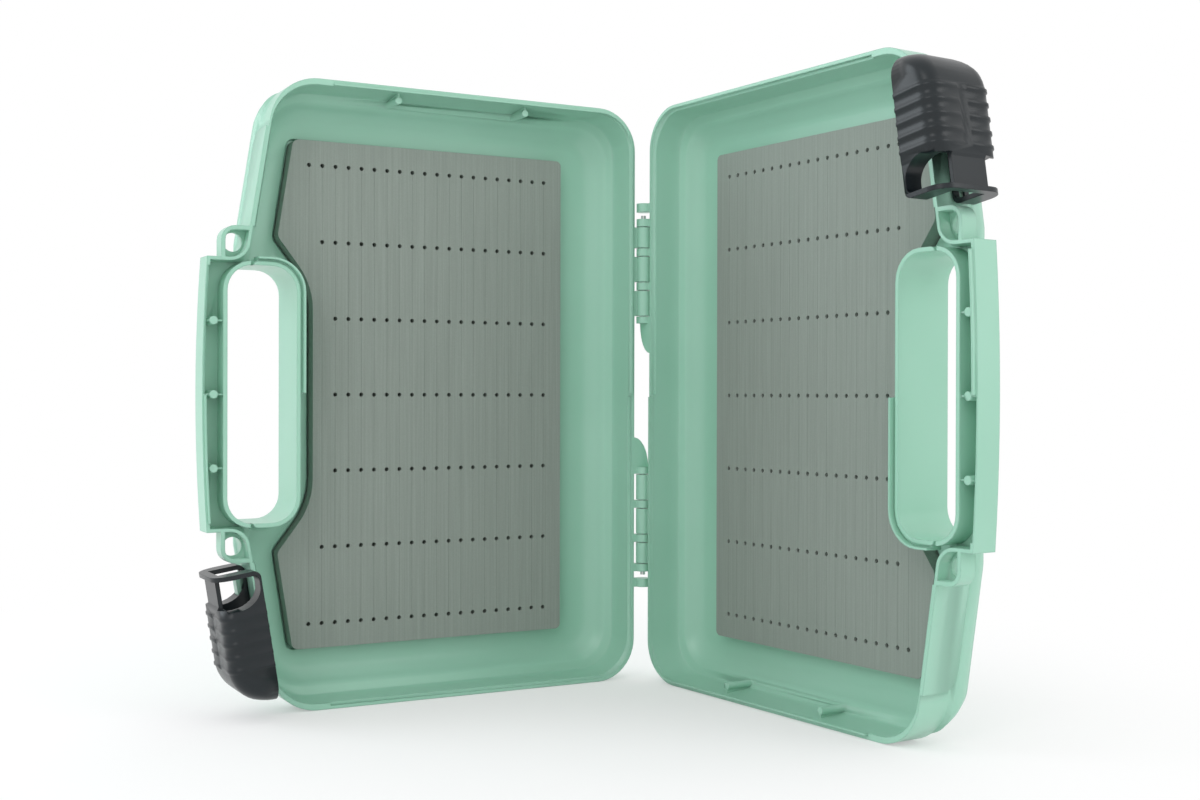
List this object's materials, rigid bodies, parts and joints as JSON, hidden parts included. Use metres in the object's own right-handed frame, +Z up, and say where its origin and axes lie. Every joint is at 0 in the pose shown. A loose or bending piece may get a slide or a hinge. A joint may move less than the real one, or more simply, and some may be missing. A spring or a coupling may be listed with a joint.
{
  "type": "fly box",
  "caption": "Book-style fly box of two hinged moulded halves that stand open, with slit foam pads, a carrying grip and sliding sleeve latches.",
  "frame": {"origin": "centre of the left half's standing face, on the ground plane", "axes": "+Z up along the hinge; -X from the hinge towards the left half's grip; +Y towards the left half's back"},
  "size_m": [0.3173, 0.296, 0.339],
  "materials": {
    "shell_mint": "satin moulded",
    "latch_dark": "polished moulded",
    "foam_grey": "fine closed-cell foam",
    "pin_steel": "drawn"
  },
  "bodies": {
    "left_half": {"left_shell": "shell_mint", "left_foam": "foam_grey", "upper_hinge_pin": "pin_steel", "lower_hinge_pin": "pin_steel"},
    "right_half": {"right_shell": "shell_mint", "right_foam": "foam_grey"},
    "left_latch_body": {"left_latch": "latch_dark"},
    "right_latch_body": {"right_latch": "latch_dark"}
  },
  "joints": [
    {"name": "case_hinge", "type": "hinge", "parent": "left_half", "child": "right_half", "pos_m": [0.11488, -0.01025, 0.1695], "axis": [0, 0, 1], "range_deg": [-95, 84]},
    {"name": "left_latch_slide", "type": "slide", "parent": "left_half", "child": "left_latch_body", "axis": [-0.1582, 0, 0.9874], "range_m": [0, 0.0166]},
    {"name": "right_latch_slide", "type": "slide", "parent": "right_half", "child": "right_latch_body", "axis": [0.0138, -0.1576, -0.9874], "range_m": [0, 0.0166]}
  ]
}
